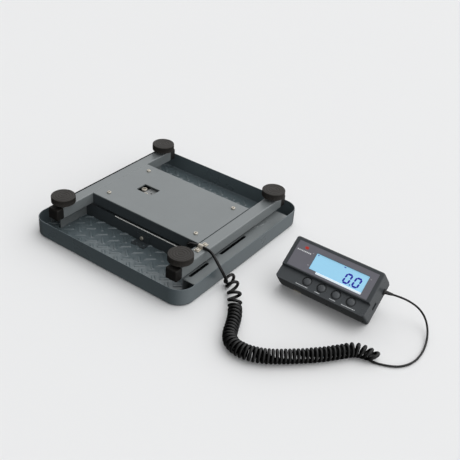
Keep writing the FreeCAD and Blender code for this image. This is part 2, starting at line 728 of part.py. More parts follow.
def display_back():
    """The lower shell: a thick floor with the stand's recess and the battery's opening."""
    shell = display_body().cut(display_cavity())
    shell = shell.cut(block((-9, DISPLAY_U + 9), (-9, DISPLAY_V + 9), (SHELL_SPLIT_N, DISPLAY_N + 1)))
    recess_n = (-1, STAND_THICK + 0.7)
    recess_v = (STAND_PIVOT_V - 41.0, STAND_PIVOT_V + 2.6)
    leg = STAND_LEG + 2 * GAP
    for u in (STAND_U[0] - GAP, STAND_U[1] + GAP - leg):
        shell = shell.cut(block((u, u + leg), recess_v, recess_n))
    bar_u = (STAND_U[0] - GAP, STAND_U[1] + GAP)
    shell = shell.cut(block(bar_u, (recess_v[0], STAND_BAR_V), recess_n))
    battery_u = (DOOR_U[0] + 1.5, DOOR_U[1] - 1.5)
    battery_v = (DOOR_V[0] + 0.5, DOOR_V[1] - 0.5)
    shell = shell.cut(block(battery_u, battery_v, (-1, SHELL_FLOOR_N + 1)))
    shell = shell.cut(block(DOOR_U, DOOR_V, (-1, DOOR_THICK)))
    pin_start = Vector(STAND_U[0] - STAND_PIN_REACH - 0.3, STAND_PIVOT_V, STAND_PIVOT_N)
    pin_end = Vector(STAND_U[1] + STAND_PIN_REACH + 0.3, STAND_PIVOT_V, STAND_PIVOT_N)
    shell = shell.cut(rod(STAND_PIN_R + 0.07, pin_start, pin_end))
    for u, v in case_screw_spots():
        shell = shell.cut(upright(2.8, u, v, (-1, CASE_SCREW_N)))
        shell = shell.cut(upright(1.25, u, v, (-1, SHELL_FLOOR_N + 1)))
    shell = shell.cut(jack_cutter())
    return shell.cut(gland_cutter(3.6))


def label_panel():
    """The thin faceplate in the front shell's recess, open over the display."""
    u = (LABEL_U[0] + 0.1, LABEL_U[1] - 0.1)
    v = (LABEL_V[0] + 0.1, LABEL_V[1] - 0.1)
    panel = block(u, v, (DISPLAY_N - LABEL_DEPTH, DISPLAY_N - 0.1))
    return panel.cut(glass_opening())


def backlight_frame():
    """The white carrier behind the display glass, with the lip that shows below it."""
    frame = block((30.0, 130.0), (24.0, 60.0), (31.4, LCD_N[0]))
    return frame.fuse(block(LIP_U, (LIP_V[0], LIP_V[1] - 0.1), (LCD_N[0], LCD_N[1] - 0.2)))


def circuit_board():
    board = block((8.0, 133.0), (5.0, 64.0), BOARD_N)
    for u in (12.0, 129.0):
        for v in (9.0, 60.0):
            board = board.cut(upright(1.9, u, v, (BOARD_N[0] - 1, BOARD_N[1] + 1)))
    return board


def button(u):
    """A domed key on a stem, with a flange that keeps it in the housing."""
    cap = button_stack(u, BUTTON_R, KEY_FLANGE_N[0], BUTTON_TOP_N)
    cap = cap.makeFillet(2.2, edges_at_z(cap, BUTTON_TOP_N))
    return cap.fuse(button_stack(u, BUTTON_R + 1.0, *KEY_FLANGE_N))


def key_switches():
    """One tact switch under each key."""
    found = []
    for u in BUTTON_U:
        body = block((u - 3, u + 3), (BUTTON_V - 3, BUTTON_V + 3), (BOARD_N[1], BOARD_N[1] + 2.2))
        found.append(body.fuse(button_stack(u, 1.7, BOARD_N[1] + 2.2, KEY_SWITCH_TOP_N)))
    return found


def power_jack():
    """The barrel socket behind its opening in the right wall."""
    u = (DISPLAY_U - 14.0, DISPLAY_U - SHELL_WALL - 0.1)
    body = block(u, (JACK_V - 4.5, JACK_V + 4.5), (JACK_N - 4.5, BOARD_N[0]))
    mouth = Vector(DISPLAY_U - 1, JACK_V, JACK_N)
    body = body.cut(rod(2.3, mouth - Vector(12, 0, 0), mouth))
    return body.fuse(rod(0.9, mouth - Vector(11.5, 0, 0), mouth - Vector(3.2, 0, 0)))


def lead_gland():
    """The gland's barrel and flange in the wall, with the tapered strain relief."""
    to_own = display_placement().inverse()
    root = to_own.multVec(RELIEF_ROOT)
    outer_u = DISPLAY_U + 2.85
    inner_u = DISPLAY_U - SHELL_WALL
    barrel = rod(3.5, Vector(inner_u - 2, root.y, root.z), Vector(outer_u, root.y, root.z))
    flange = rod(4.6, Vector(outer_u, root.y, root.z), Vector(outer_u + 1.2, root.y, root.z))
    inside = rod(4.6, Vector(inner_u - 2, root.y, root.z), Vector(inner_u, root.y, root.z))
    tip = to_own.multVec(RELIEF_TIP)
    length = (tip - root).Length
    relief = Part.makeCone(RELIEF_ROOT_R, TAIL_D / 2 + 0.35, length, root, tip - root)
    return barrel.fuse([flange, inside, relief])


def case_screws():
    """Four screws through the lower shell's corner posts."""
    screw = pan_screw(2.6, 1.6, 1.2, 6.0)
    turned = Rotation(Vector(1, 0, 0), 180)
    return [placed(screw, u, v, CASE_SCREW_N, turned) for u, v in case_screw_spots()]


def battery_door():
    """The snap-out panel over the battery, with a finger notch."""
    u = (DOOR_U[0] + 0.2, DOOR_U[1] - 0.2)
    v = (DOOR_V[0] + 0.2, DOOR_V[1] - 0.2)
    door = block(u, v, (0, DOOR_THICK - 0.1))
    middle = sum(DOOR_U) / 2
    notch = block((middle - 8, middle + 8), (DOOR_V[0] + 2, DOOR_V[0] + 6), (-1, 0.9))
    return door.cut(notch)


def battery():
    """A nine-volt block with its two studs."""
    u = (DOOR_U[0] + 2.6, DOOR_U[0] + 51.1)
    v = (DOOR_V[0] + 1.0, DOOR_V[1] - 1.0)
    n = (DOOR_THICK + 0.4, DOOR_THICK + 17.9)
    cell = rounded_block(u, v, n, 1.5)
    middle_v = sum(v) / 2
    middle_n = sum(n) / 2
    for side in (-1, 1):
        start = Vector(u[1], middle_v + side * 6.35, middle_n)
        cell = cell.fuse(rod(2.8, start, start + Vector(2.6, 0, 0)))
    return cell


def battery_snap():
    """The clip over the battery's studs."""
    u = (DOOR_U[0] + 53.8, DOOR_U[0] + 56.4)
    return block(u, (DOOR_V[0] + 2, DOOR_V[1] - 2), (DOOR_THICK + 3, DOOR_THICK + 16))


def stand_reach():
    """From the pivot's axis down to the floor, along the leg."""
    pivot = display_placement().multVec(Vector(0, STAND_PIVOT_V, STAND_PIVOT_N))
    return pivot, pivot.z / math.cos(math.radians(STAND_SPLAY))


def tilt_stand():
    """A frame with two legs and a foot bar, pivoted in the lower shell. Built hanging down."""
    pivot, reach = stand_reach()
    half = STAND_THICK / 2
    foot_centre = -(reach - half)
    legs = []
    for u in (STAND_U[0], STAND_U[1] - STAND_LEG):
        legs.append(block((u, u + STAND_LEG), (-half, half), (foot_centre, 0)))
        legs.append(rod(half, Vector(u, 0, 0), Vector(u + STAND_LEG, 0, 0)))
    bar = block(STAND_U, (-half, half), (foot_centre, foot_centre + STAND_BAR))
    foot = rod(half, Vector(STAND_U[0], 0, foot_centre), Vector(STAND_U[1], 0, foot_centre))
    pins = []
    pins.append(rod(STAND_PIN_R, Vector(STAND_U[0] - STAND_PIN_REACH, 0, 0), Vector(STAND_U[0], 0, 0)))
    pins.append(rod(STAND_PIN_R, Vector(STAND_U[1], 0, 0), Vector(STAND_U[1] + STAND_PIN_REACH, 0, 0)))
    stand = bar.fuse(legs + [foot] + pins)
    turn = Rotation(Vector(1, 0, 0), STAND_SPLAY)
    return placed(stand, DISPLAY_ORIGIN.x, pivot.y, pivot.z, turn)


# Build ------------------------------------------------------------------------------------

save("platform_tray", platform_tray())
save("right_platform_channel", side_channel())
save("left_platform_channel", mirrored_x(side_channel()))
save("centre_platform_channel", centre_channel())
save("near_bracket", bracket_near())
save("far_bracket", mirrored_y(bracket_near()))
save("bracket_screws", bracket_screw_near(), mirrored_y(bracket_screw_near()))

save("right_cross_tube", clamp_holes(cross_tube()))
save("left_cross_tube", mirrored_x(cross_tube()))
save("base_channel", base_channel())
save("cover_plate", cover_plate())
save("cover_screws", *cover_screws())
save("foot_nuts", *[foot_nut(sx * FOOT_X, sy * FOOT_Y) for _, sx, sy in CORNERS])
for corner, side_x, side_y in CORNERS:
    plug = tube_plug()
    if side_x < 0:
        plug = mirrored_x(plug)
    if side_y < 0:
        plug = mirrored_y(plug)
    save("tube_plug_" + corner, plug)
    save("foot_stud_" + corner, foot_stud(side_x * FOOT_X, side_y * FOOT_Y))
    save("foot_pad_" + corner, foot_pad(side_x * FOOT_X, side_y * FOOT_Y))

save("load_cell", load_cell())
save("platform_spacer", platform_spacer())
save("base_spacer", base_spacer())
save("platform_bolts", *platform_bolts())
save("base_bolts", *base_bolts())
save("overload_stop", overload_stop())
save("grommet", grommet())
save("cable_clamp", cable_clamp())
save("clamp_screws", *clamp_screws())

save("display_front", on_display(display_front()))
save("display_back", on_display(display_back()))
save("label_panel", on_display(label_panel()))
save("lcd_glass", on_display(block(LCD_U, LCD_V, LCD_N)))
save("backlight_frame", on_display(backlight_frame()))
save("circuit_board", on_display(circuit_board()))
for name, u in zip(BUTTONS, BUTTON_U):
    save(name, on_display(button(u)))
save("key_switches", *[on_display(s) for s in key_switches()])
save("power_jack", on_display(power_jack()))
save("lead_gland", on_display(lead_gland()))
save("case_screws", *[on_display(s) for s in case_screws()])
save("battery_door", on_display(battery_door()))
save("battery", on_display(battery()))
save("battery_snap", on_display(battery_snap()))
save("tilt_stand", tilt_stand())

save("inner_lead", cord_tube("inner_lead", INNER_LEAD, CORD_D))
save("upper_lead", cord_tube("upper_lead", UPPER_LEAD, CORD_D))
save("lead_coil", cord_tube("lead_coil", COIL_AXIS, 2 * COIL_R))
save("lower_lead", cord_tube("lower_lead", LOWER_LEAD, TAIL_D))
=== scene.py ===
import json
import math
import random

import bmesh
import bpy
from mathutils import Matrix, Vector
from mathutils.geometry import delaunay_2d_cdt


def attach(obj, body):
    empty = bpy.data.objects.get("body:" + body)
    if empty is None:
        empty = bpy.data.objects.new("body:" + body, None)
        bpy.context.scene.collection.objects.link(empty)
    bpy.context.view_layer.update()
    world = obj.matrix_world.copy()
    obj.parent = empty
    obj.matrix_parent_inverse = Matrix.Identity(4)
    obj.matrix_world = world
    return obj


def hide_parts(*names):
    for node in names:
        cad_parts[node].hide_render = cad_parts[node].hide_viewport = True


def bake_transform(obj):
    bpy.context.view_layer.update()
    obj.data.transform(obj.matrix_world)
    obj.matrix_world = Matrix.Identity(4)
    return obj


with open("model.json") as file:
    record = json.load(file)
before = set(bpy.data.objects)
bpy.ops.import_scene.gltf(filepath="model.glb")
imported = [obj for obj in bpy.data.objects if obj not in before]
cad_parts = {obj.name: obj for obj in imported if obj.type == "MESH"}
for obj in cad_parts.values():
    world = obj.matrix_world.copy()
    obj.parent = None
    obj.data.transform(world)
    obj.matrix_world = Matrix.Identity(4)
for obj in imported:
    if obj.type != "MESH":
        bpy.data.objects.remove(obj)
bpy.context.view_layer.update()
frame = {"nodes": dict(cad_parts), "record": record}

MM = 0.001
rng = random.Random(20)

# Sizes shared with the part's source, in millimetres.
TRAY_HALF = (150.0, 156.5)
TRAY_CORNER_R = 26.0
TRAY_BEND_R = 3.0
TRAY_SHEET = 1.2
TRAY_RIM_Z = 28.7
FRAME_TOP_Z = 24.0
FOOT_AT = (116.5, 119.4)
FOOT_R = 18.9
FOOT_TOP_Z = 63.5
FOOT_DISC_Z = 53.0
FOOT_HUB_Z = 49.4
FOOT_HUB_R = 8.5
STUD_R = 3.93
STUD_HOLE_R = 4.0
STUD_Z = (30.8, 57.0)
TUBE_TOP_Z = 48.1
TUBE_OUT_X = 127.5
CORD_D = 4.2
TAIL_D = 3.0
COIL_R = 9.6
DISPLAY_TILT = math.radians(37.0)
DISPLAY_ORIGIN = Vector((223.2, -10.5, -0.64))
CORNERS = (
    ("left_near", -1, -1),
    ("right_near", 1, -1),
    ("left_far", -1, 1),
    ("right_far", 1, 1),
)
UPPER_LEAD = (
    (120.6, -71.7, 50.3),
    (130.2, -71.7, 50.3),
    (139.4, -74.4, 49.2),
    (147.8, -77.2, 44.8),
    (155.0, -78.6, 37.8),
    (161.2, -77.4, 28.8),
    (165.2, -74.6, 18.6),
    (166.0, -70.8, 9.2),
)
COIL_AXIS = (
    (161.4, -60.9, COIL_R),
    (182.0, -75.5, COIL_R),
    (201.1, -100.3, COIL_R),
    (219.0, -124.6, COIL_R),
    (230.2, -148.5, COIL_R),
    (237.9, -165.1, COIL_R),
    (250.8, -176.0, COIL_R),
    (271.1, -177.5, COIL_R),
    (294.2, -169.0, COIL_R),
    (322.4, -145.0, COIL_R),
    (348.7, -119.2, COIL_R),
    (369.4, -92.8, COIL_R),
    (383.7, -73.3, COIL_R),
    (407.0, -69.5, COIL_R),
)
LOWER_LEAD = (
    (401.0, -75.6, 2.6),
    (412.6, -73.6, 1.7),
    (425.0, -68.6, 1.7),
    (436.8, -61.4, 1.7),
    (445.4, -50.0, 1.7),
    (450.2, -35.2, 1.7),
    (451.0, -17.6, 1.7),
    (448.4, 0.6, 2.2),
    (443.6, 17.6, 4.4),
    (436.0, 32.2, 9.2),
    (426.4, 41.2, 16.2),
    (414.6, 42.8, 24.4),
    (402.4, 38.4, 31.4),
    (390.6, 33.4, 35.8),
    (378.4, 28.9, 37.4),
)

# Camera -----------------------------------------------------------------------------------

CAMERA_AT = Vector((654.2, -817.1, 687.6))
CAMERA_AZIMUTH = math.radians(33.327)
CAMERA_ELEVATION = math.radians(33.356)
CAMERA_ROLL = math.radians(4.790)
CAMERA_LENS = 60.106


def make_camera():
    camera = bpy.data.objects.new("camera", bpy.data.cameras.new("camera"))
    bpy.context.scene.collection.objects.link(camera)
    camera.data.lens = CAMERA_LENS
    camera.data.sensor_width = 36.0
    camera.data.clip_end = 30.0
    flat = math.cos(CAMERA_ELEVATION)
    back = Vector(
        (
            math.sin(CAMERA_AZIMUTH) * flat,
            -math.cos(CAMERA_AZIMUTH) * flat,
            math.sin(CAMERA_ELEVATION),
        )
    )
    level_right = Vector((0, 0, 1)).cross(back).normalized()
    level_up = back.cross(level_right)
    cos_r = math.cos(CAMERA_ROLL)
    sin_r = math.sin(CAMERA_ROLL)
    right = level_right * cos_r + level_up * sin_r
    up = level_up * cos_r - level_right * sin_r
    turn = Matrix((right, up, back)).transposed().to_4x4()
    camera.matrix_world = Matrix.Translation(CAMERA_AT * MM) @ turn
    bpy.context.scene.camera = camera


make_camera()

# Materials --------------------------------------------------------------------------------


def linear(*srgb):
    """A linear RGBA colour from 0-255 sRGB values."""
    found = []
    for value in srgb:
        x = value / 255
        found.append(x / 12.92 if x <= 0.04045 else ((x + 0.055) / 1.055) ** 2.4)
    return (*found, 1.0)


def make_material(
    name,
    colour,
    roughness=0.5,
    metallic=0.0,
    tone=0.06,
    patch=30.0,
    wear=0.08,
    grain=900.0,
    bump=0.15,
    glow=0.0,
    coat=0.0,
    shine=0.5,
):
    """A node material: blotched colour, uneven roughness and a fine grain in its surface."""
    material = bpy.data.materials.new(name)
    material.use_nodes = True
    tree = material.node_tree
    shader = tree.nodes["Principled BSDF"]
    place = tree.nodes.new("ShaderNodeTexCoord")
    blotch = tree.nodes.new("ShaderNodeTexNoise")
    blotch.inputs["Scale"].default_value = patch
    blotch.inputs["Detail"].default_value = 5.0
    blotch.inputs["Roughness"].default_value = 0.6
    tree.links.new(place.outputs["Object"], blotch.inputs["Vector"])
    ramp = tree.nodes.new("ShaderNodeValToRGB")
    ramp.color_ramp.elements[0].position = 0.3
    ramp.color_ramp.elements[1].position = 0.7
    ramp.color_ramp.elements[0].color = (*[c * (1 - tone) for c in colour[:3]], 1.0)
    ramp.color_ramp.elements[1].color = (*[c * (1 + tone) for c in colour[:3]], 1.0)
    tree.links.new(blotch.outputs["Fac"], ramp.inputs["Fac"])
    tree.links.new(ramp.outputs["Color"], shader.inputs["Base Color"])
    rough = tree.nodes.new("ShaderNodeMapRange")
    rough.inputs["From Min"].default_value = 0.3
    rough.inputs["From Max"].default_value = 0.7
    rough.inputs["To Min"].default_value = max(0.02, roughness - wear)
    rough.inputs["To Max"].default_value = min(1.0, roughness + wear)
    tree.links.new(blotch.outputs["Fac"], rough.inputs["Value"])
    tree.links.new(rough.outputs["Result"], shader.inputs["Roughness"])
    fine = tree.nodes.new("ShaderNodeTexNoise")
    fine.inputs["Scale"].default_value = grain
    fine.inputs["Detail"].default_value = 2.0
    tree.links.new(place.outputs["Object"], fine.inputs["Vector"])
    relief = tree.nodes.new("ShaderNodeBump")
    relief.inputs["Strength"].default_value = bump
    relief.inputs["Distance"].default_value = 0.0002
    tree.links.new(fine.outputs["Fac"], relief.inputs["Height"])
    tree.links.new(relief.outputs["Normal"], shader.inputs["Normal"])
    shader.inputs["Metallic"].default_value = metallic
    shader.inputs["Specular IOR Level"].default_value = shine
    if coat:
        shader.inputs["Coat Weight"].default_value = coat
        shader.inputs["Coat Roughness"].default_value = 0.2
    if glow:
        tree.links.new(ramp.outputs["Color"], shader.inputs["Emission Color"])
        shader.inputs["Emission Strength"].default_value = glow
    return material


# The tray's paint is darker than the frame's: painted shade for the tray's floor and walls.
TRAY_PAINT = linear(88, 99, 103)
FRAME_PAINT = linear(118, 123, 124)
# A darker copy of the frame paint: painted shade for the base channel, the centre channel and the
# brackets.
FRAME_PAINTED_SHADE = linear(56, 62, 65)
MATERIALS = {
    "tray_paint": make_material("tray_paint", TRAY_PAINT, 0.3, 0.0, 0.05, 14, 0.05, 700, 0.18, coat=0.5),
    "frame_paint": make_material(
        "frame_paint", FRAME_PAINT, 0.36, 0.0, 0.05, 16, 0.05, 700, 0.18, coat=0.3,
    ),
    "shaded_paint": make_material("shaded_paint", FRAME_PAINTED_SHADE, 0.45, 0.0, 0.05, 16, 0.05, 700, 0.18),
    # Near-white and glowing: a painted highlight along the centre channel's bend.
    "painted_highlight": make_material(
        "painted_highlight", linear(236, 236, 232), 0.25, 0.2, 0.04, 60, 0.06, 700, 0.05, 0.3,
    ),
    # Near-black for the strips on the tube's edge, in the cover's seam and under the slots: painted
    # shade.
    "painted_shade_black": make_material(
        "painted_shade_black", linear(12, 14, 15), 0.8, 0.0, 0.1, 60, 0.05, 700, 0.1, shine=0.0,
    ),
    "plug_rubber": make_material(
        "plug_rubber", linear(24, 22, 20), 0.5, 0.0, 0.1, 60, 0.08, 900, 0.3, shine=0.3,
    ),
    # Near-black: the power jack's own black plastic, made blacker as painted shade for its opening.
    "jack_black": make_material("jack_black", linear(12, 12, 13), 0.4, 0.0, 0.1, 60, 0.05, 700, 0.1),
    "zinc": make_material("zinc", linear(196, 190, 178), 0.34, 0.6, 0.08, 120, 0.08, 500, 0.2),
    "dark_steel": make_material("dark_steel", linear(64, 62, 60), 0.42, 0.5, 0.1, 150, 0.1, 600, 0.2),
    "cell_aluminium": make_material(
        "cell_aluminium", linear(136, 138, 138), 0.4, 0.15, 0.05, 60, 0.07, 400, 0.2,
    ),
    "foot_rubber": make_material(
        "foot_rubber", linear(46, 43, 40), 0.55, 0.0, 0.1, 60, 0.08, 900, 0.3, shine=0.25,
    ),
    "black_rubber": make_material(
        "black_rubber", linear(34, 33, 33), 0.55, 0.0, 0.1, 80, 0.08, 900, 0.25,
    ),
    "cord_jacket": make_material(
        "cord_jacket", linear(4, 4, 4), 0.2, 0.0, 0.1, 60, 0.06, 900, 0.04, shine=0.36,
    ),
    "housing": make_material("housing", linear(66, 70, 73), 0.3, 0.0, 0.05, 40, 0.05, 1500, 0.25),
    "panel": make_material("panel", linear(116, 115, 123), 0.4, 0.0, 0.04, 40, 0.05, 1200, 0.1),
    # The caps' grey is lighter than the housing's: painted highlight on the caps.
    "key": make_material("key", linear(84, 87, 90), 0.34, 0.0, 0.05, 60, 0.05, 1500, 0.15),
    # Dark ring round each key cap: painted shade of the gap around the cap.
    "key_gap_shade": make_material("key_gap_shade", linear(26, 27, 29), 0.5, 0.0, 0.05, 60, 0.05, 1500, 0.1),
    "lcd": make_material("lcd", linear(154, 208, 236), 0.12, 0.0, 0.03, 9, 0.03, 200, 0.0, 0.34),
    "white_plastic": make_material(
        "white_plastic", linear(228, 240, 246), 0.4, 0.0, 0.02, 20, 0.05, 500, 0.1, 0.3,
    ),
    "board": make_material("board", linear(40, 88, 56), 0.5, 0.0, 0.12, 90, 0.1, 900, 0.2),
    "battery_label": make_material(
        "battery_label", linear(52, 54, 60), 0.35, 0.2, 0.08, 40, 0.08, 700, 0.1,
    ),
    "digits": make_material("digits", linear(30, 16, 168), 0.4, 0.0, 0.04, 40, 0.05, 500, 0.0, 0.12),
    "print_white": make_material(
        "print_white", linear(226, 228, 230), 0.5, 0.0, 0.04, 60, 0.05, 900, 0.05,
    ),
    "label_print": make_material(
        "label_print", linear(172, 170, 176), 0.5, 0.0, 0.04, 60, 0.05, 900, 0.05,
    ),
    "lamp_red": make_material("lamp_red", linear(206, 58, 44), 0.3, 0.0, 0.05, 60, 0.05, 900, 0.0),
    "cream": make_material("cream", linear(196, 188, 170), 0.5, 0.0, 0.05, 60, 0.05, 900, 0.05),
}

# Meshes -----------------------------------------------------------------------------------


def add_object(name, vertices, faces, material):
    """A mesh object from points in metres."""
    mesh = bpy.data.meshes.new(name)
    mesh.from_pydata([tuple(v) for v in vertices], [], faces)
    mesh.update()
    made = bpy.data.objects.new(name, mesh)
    bpy.context.scene.collection.objects.link(made)
    mesh.materials.append(MATERIALS[material])
    return made


def close_up(piece, join=1e-6):
    """Joins doubled points and turns every face outwards."""
    work = bmesh.new()
    work.from_mesh(piece.data)
    bmesh.ops.remove_doubles(work, verts=work.verts, dist=join)
    bmesh.ops.recalc_face_normals(work, faces=work.faces)
    work.to_mesh(piece.data)
    work.free()


def smooth(piece, sharp=None):
    """Smooth shading; with an angle in degrees, edges sharper than it stay sharp."""
    piece.data.polygons.foreach_set("use_smooth", [True] * len(piece.data.polygons))
    if sharp is not None:
        piece.data.set_sharp_from_angle(angle=math.radians(sharp))


def weighted(piece):
    weighting = piece.modifiers.new("weighted", "WEIGHTED_NORMAL")
    weighting.keep_sharp = True
    weighting.weight = 70


def belongs(piece, body, slot, *nodes):
    """The piece rides on its body and stands for its nodes; its slot is not used."""
    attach(piece, body)
    if nodes:
        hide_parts(*nodes)
    return piece


def body_of_node(node):
    for body, members in frame["record"]["behaviour"]["bodies"].items():
        if node in members:
            return body
    raise KeyError(node)


def softened(node, width, slot, look=None, corner=32.0, segments=2):
    """A CAD node's shape with its hard edges rounded to a width in millimetres."""
    work = bmesh.new()
    work.from_mesh(frame["nodes"][node].data)
    bmesh.ops.remove_doubles(work, verts=work.verts, dist=2e-6)
    bmesh.ops.dissolve_limit(
        work,
        angle_limit=math.radians(0.6),
        verts=work.verts,
        edges=work.edges,
        use_dissolve_boundaries=False,
    )
    work.verts.index_update()
    points = [v.co.copy() for v in work.verts]
    faces = [[v.index for v in f.verts] for f in work.faces]
    work.free()
    piece = add_object(node + "_finish", points, faces, look or slot)
    smooth(piece)
    rounding = piece.modifiers.new("rounding", "BEVEL")
    rounding.width = width * MM
    rounding.segments = segments
    rounding.limit_method = "ANGLE"
    rounding.angle_limit = math.radians(corner)
    rounding.use_clamp_overlap = True
    rounding.miter_outer = "MITER_ARC"
    weighted(piece)
    return belongs(piece, body_of_node(node), slot, node)


# Cord -------------------------------------------------------------------------------------


def nurbs_route(points, steps):
    """Points along the smooth line that a route's corner points control, in metres."""
    curve = bpy.data.curves.new("route", "CURVE")
    curve.dimensions = "3D"
    curve.resolution_u = steps
    spline = curve.splines.new("NURBS")
    spline.points.add(len(points) - 1)
    for control, point in zip(spline.points, points):
        control.co = (*point, 1.0)
    spline.order_u = 3
    spline.use_endpoint_u = True
    spline.resolution_u = steps
    holder = bpy.data.objects.new("route", curve)
    bpy.context.scene.collection.objects.link(holder)
    graph = bpy.context.evaluated_depsgraph_get()
    line = bpy.data.meshes.new_from_object(holder.evaluated_get(graph))
    found = [v.co.copy() for v in line.vertices]
    bpy.data.objects.remove(holder)
    bpy.data.curves.remove(curve)
    bpy.data.meshes.remove(line)
    return found


def running_lengths(points):
    total = 0.0
    found = [0.0]
    for a, b in zip(points, points[1:]):
        total += (b - a).length
        found.append(total)
    return found


def along(points, lengths, distance):
    """The place and heading on a line at a distance from its start."""
    distance = min(max(distance, 0.0), lengths[-1])
    index = 0
    while index < len(lengths) - 2 and lengths[index + 1] < distance:
        index += 1
    span = lengths[index + 1] - lengths[index]
    share = (distance - lengths[index]) / span
    heading = (points[index + 1] - points[index]).normalized()
    return points[index].lerp(points[index + 1], share), heading


HELIX_R = COIL_R - CORD_D / 2
TURN_STEPS = 14
COIL_START = 1.0
COIL_START_TURN = -0.45
COIL_START_ANGLE = 2.94
COIL_START_PITCH = 5.0
STRAND_D = 4.6
LOOSE_LOOPS = (
    # pitch, forward lean, sideways roll and size of each loose loop
    (17.0, 30.0, -66.0, 1.05),
    (19.0, 36.0, -40.0, 1.16),
    (18.0, 48.0, -18.0, 1.14),
    (15.0, 46.0, -4.0, 1.12),
    (9.0, 14.0, 0.0, 1.06),
)
SMOOTHING = 0.975
CLEAR_OF_FLOOR = 0.05
PITCHES = (
    # distance along the coil's axis, pitch of its turns there
    (64, 7.8),
    (90, 7.2),
    (130, 5.9),
    (200, 5.4),
    (250, 5.9),
    (290, 6.3),
    (320, 6.9),
    (346, 8.0),
)
FAN_LENGTH = 34.0
FAN_LEAN = 62.0
BOTTOM = -0.95
BEND_AT = 168.0
BEND_SPREAD = 28.0
BEND_SWELL = 0.07
SIZE_WOBBLE = 0.015


def between(table, at):
    """A value from a table of steps, straight between its rows."""
    for (low, first), (high, second) in zip(table, table[1:]):
        if at <= high:
            share = max(0.0, (at - low) / (high - low))
            return first + (second - first) * share
    return table[-1][1]


def helix_points():
    """The coil: a few loose leaning loops, then close turns that open again at the end."""
    axis = [p / MM for p in nurbs_route([Vector(p) * MM for p in COIL_AXIS], 24)]
    lengths = running_lengths(axis)
    total = lengths[-1]
    wobble = [rng.uniform(-1, 1) for _ in range(90)]
    up = Vector((0, 0, 1))
    found = []
    distance = COIL_START
    turned = COIL_START_TURN
    angle = 0.0
    while distance < total or math.sin(angle) > BOTTOM:
        centre, heading = along(axis, lengths, distance)
        side = heading.cross(up).normalized()
        loop = max(0, int(turned))
        share = max(0.0, turned - loop)
        pitch = between(PITCHES, distance)
        roll = 0.0
        fan = max(0.0, 1 - (total - distance) / FAN_LENGTH)
        lean = math.radians(FAN_LEAN * fan)
        from_bend = (distance - BEND_AT) / BEND_SPREAD
        size = LOOSE_LOOPS[-1][3] + BEND_SWELL * math.exp(-(from_bend**2))
        size += SIZE_WOBBLE * (wobble[loop] * (1 - share) + wobble[loop + 1] * share)
        if loop < len(LOOSE_LOOPS) - 1:
            here = LOOSE_LOOPS[loop]
            after = LOOSE_LOOPS[loop + 1]
            pitch = here[0] if turned > 0 else COIL_START_PITCH
            lean = math.radians(here[1] + (after[1] - here[1]) * share)
            roll = math.radians(here[2] + (after[2] - here[2]) * share)
            size = here[3] + (after[3] - here[3]) * share
        across = side * math.cos(roll) + up * math.sin(roll)
        rise = (up * math.cos(roll) - side * math.sin(roll)) * math.cos(lean)
        rise += heading * math.sin(lean)
        angle = COIL_START_ANGLE + 2 * math.pi * turned
        radius = HELIX_R * size / SMOOTHING
        reach = radius * math.hypot(across.z, rise.z)
        ring = across * math.cos(angle) + rise * math.sin(angle)
        lift = reach + STRAND_D / 2 - COIL_R + CLEAR_OF_FLOOR
        found.append(centre + ring * radius + up * lift)
        distance += pitch / TURN_STEPS
        turned += 1 / TURN_STEPS
    return found


TAIL_LENGTH = 195.0
TAPER = 25.0


def make_cord():
    controls = [Vector(p) for p in UPPER_LEAD]
    controls += helix_points()
    controls += [Vector(p) for p in LOWER_LEAD]
    path = nurbs_route([p * MM for p in controls], 5)
    kept = [path[0]]
    for point in path[1:]:
        if (point - kept[-1]).length > 0.5 * MM:
            kept.append(point)
    path = kept
    lengths = running_lengths(path)
    sides = 10
    taper_end = lengths[-1] - TAIL_LENGTH * MM
    taper_start = taper_end - TAPER * MM
    vertices = []
    faces = []
    heading = (path[1] - path[0]).normalized()
    across = heading.orthogonal().normalized()
    for index, point in enumerate(path):
        before = path[max(index - 1, 0)]
        after = path[min(index + 1, len(path) - 1)]
        heading = (after - before).normalized()
        across = (across - heading * across.dot(heading)).normalized()
        other = heading.cross(across)
        thin = min(1.0, max(0.0, (lengths[index] - taper_start) / (TAPER * MM)))
        radius = (STRAND_D + (TAIL_D - STRAND_D) * thin) / 2 * MM
        for k in range(sides):
            turn = 2 * math.pi * k / sides
            vertices.append(point + (across * math.cos(turn) + other * math.sin(turn)) * radius)
    for index in range(len(path) - 1):
        low = index * sides
        for k in range(sides):
            nxt = (k + 1) % sides
            faces.append((low + k, low + nxt, low + sides + nxt, low + sides + k))
    faces.append(tuple(reversed(range(sides))))
    last = (len(path) - 1) * sides
    faces.append(tuple(range(last, last + sides)))
    cord = add_object("display_cord", vertices, faces, "cord_jacket")
    smooth(cord, 60)
    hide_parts("upper_lead", "lead_coil", "lower_lead")
    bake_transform(cord)
    print("cord length", round(lengths[-1], 4), "points", len(path))


make_cord()

# Tray -------------------------------------------------------------------------------------


def rounded_rectangle(half_x, half_y, radius, steps=10):
    """The points of a rounded rectangle, anticlockwise."""
    found = []
    for quarter, (sx, sy) in enumerate(((1, 1), (-1, 1), (-1, -1), (1, -1))):
        for k in range(steps + 1):
            angle = math.pi / 2 * (quarter + k / steps)
            x = sx * (half_x - radius) + radius * math.cos(angle)
            y = sy * (half_y - radius) + radius * math.sin(angle)
            found.append((x, y))
    return found


def pill(x, y, direction, length, width, steps=5):
    """The outline of a round-ended bar."""
    ahead = Vector(direction).normalized()
    left = Vector((-ahead.y, ahead.x))
    radius = width / 2
    reach = length / 2 - radius
    found = []
    for side in (1, -1):
        for k in range(steps + 1):
            angle = math.pi * (k / steps - 0.5)
            offset = ahead * (side * (reach + radius * math.cos(angle)))
            offset += left * (side * radius * math.sin(angle))
            found.append((x + offset.x, y + offset.y))
    return found


TREAD_FAMILIES = ((12.5, -91.5, 0.9), (0.0, -103.7, -0.9))
TREAD_STEP = (25.0, 24.4)
TREAD_MARGIN = 12.0
TREAD_CORNER = 22.0


